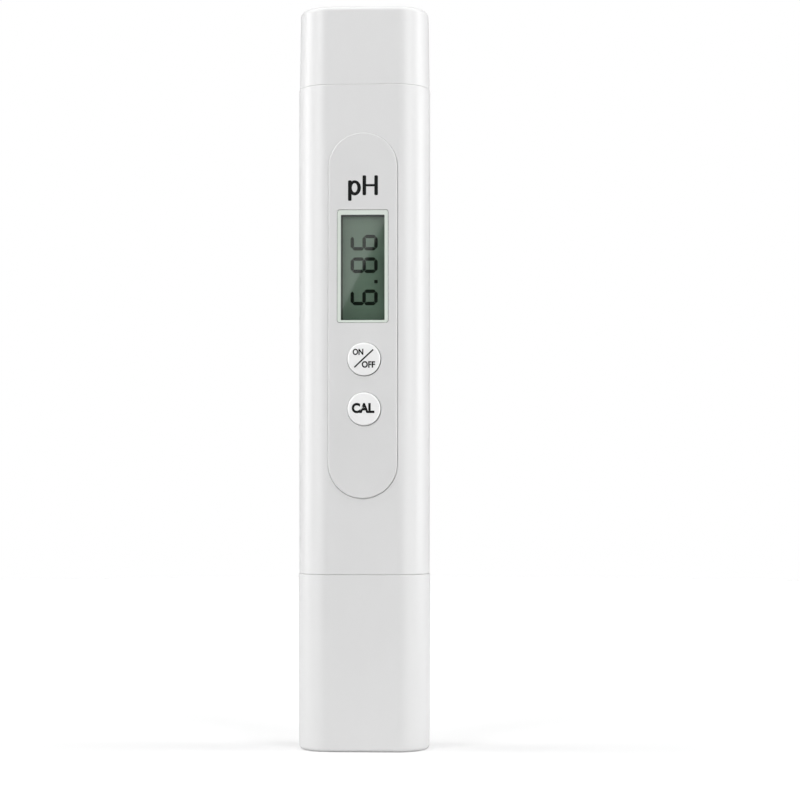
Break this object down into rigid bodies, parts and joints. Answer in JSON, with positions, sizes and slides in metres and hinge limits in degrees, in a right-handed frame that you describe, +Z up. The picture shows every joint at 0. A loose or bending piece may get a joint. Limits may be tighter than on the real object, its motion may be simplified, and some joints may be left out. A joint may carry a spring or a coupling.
{
  "type": "pH meter",
  "caption": "White pen-shaped pH meter with a display, two keys, a pull-off battery cap and a pull-off cap over its glass probe.",
  "frame": {"origin": "middle of the flat bottom of the probe cap's box, on the surface that the meter stands on", "axes": "+Z up along the meter, from the probe cap to the battery cap; -Y out of the front, with the display and keys; +X to the right seen from the front"},
  "size_m": [0.0286, 0.017, 0.1606],
  "materials": {
    "white_plastic": "satin",
    "key_plastic": "gloss",
    "grey_plastic": "satin",
    "black_plastic": "matte",
    "clear_window": "gloss",
    "lcd_glass": "gloss",
    "lcd_reflector": "satin",
    "elastomer": "matte",
    "circuit_board": "satin",
    "steel": "satin",
    "aluminium": "satin",
    "probe_glass": "polished",
    "porous_ceramic": "matte",
    "foam": "matte"
  },
  "bodies": {
    "case": {"amplifier_chip": "black_plastic", "battery_cap_seal": "elastomer", "battery_cell_1": "steel", "battery_cell_2": "steel", "battery_cell_3": "steel", "battery_holder": "black_plastic", "board_screw_1": "steel", "board_screw_2": "steel", "board_screw_3": "steel", "board_screw_4": "steel", "cal_switch_base": "black_plastic", "capacitor": "aluminium", "case_screw_1": "steel", "case_screw_2": "steel", "case_screw_3": "steel", "case_screw_4": "steel", "contact_spring": "steel", "crystal": "steel", "display_window": "clear_window", "electrode_guard": "grey_plastic", "electrode_plug": "elastomer", "electrode_wire": "steel", "front_shell": "white_plastic", "glass_electrode": "probe_glass", "lcd_frame": "grey_plastic", "lcd_front_glass": "lcd_glass", "lcd_rear_glass": "lcd_glass", "lcd_reflector": "lcd_reflector", "main_board": "circuit_board", "microcontroller": "black_plastic", "negative_contact": "steel", "on_off_switch_base": "black_plastic", "panel_plate": "grey_plastic", "positive_contact": "steel", "probe_base": "grey_plastic", "probe_cap_seal": "elastomer", "rear_shell": "white_plastic", "reference_junction": "porous_ceramic", "sensor_lead": "elastomer", "temperature_pin": "steel", "zebra_strip_left": "elastomer", "zebra_strip_right": "elastomer"},
    "battery_cap": {"battery_cap": "white_plastic"},
    "probe_cap": {"probe_cap": "white_plastic", "soaking_sponge": "foam"},
    "on_off_key": {"on_off_key": "key_plastic", "on_off_plunger": "black_plastic"},
    "cal_key": {"cal_key": "key_plastic", "cal_plunger": "black_plastic"}
  },
  "joints": [
    {"name": "battery_cap_pull", "type": "slide", "parent": "case", "child": "battery_cap", "axis": [0, 0, 1], "range_m": [0, 0.03]},
    {"name": "probe_cap_pull", "type": "slide", "parent": "case", "child": "probe_cap", "axis": [0, 0, -1], "range_m": [0, 0.045]},
    {"name": "on_off_press", "type": "slide", "parent": "case", "child": "on_off_key", "axis": [0, 1, 0], "range_m": [0, 0.0005], "stiffness_N_per_m": 600},
    {"name": "cal_press", "type": "slide", "parent": "case", "child": "cal_key", "axis": [0, 1, 0], "range_m": [0, 0.0005], "stiffness_N_per_m": 600}
  ]
}
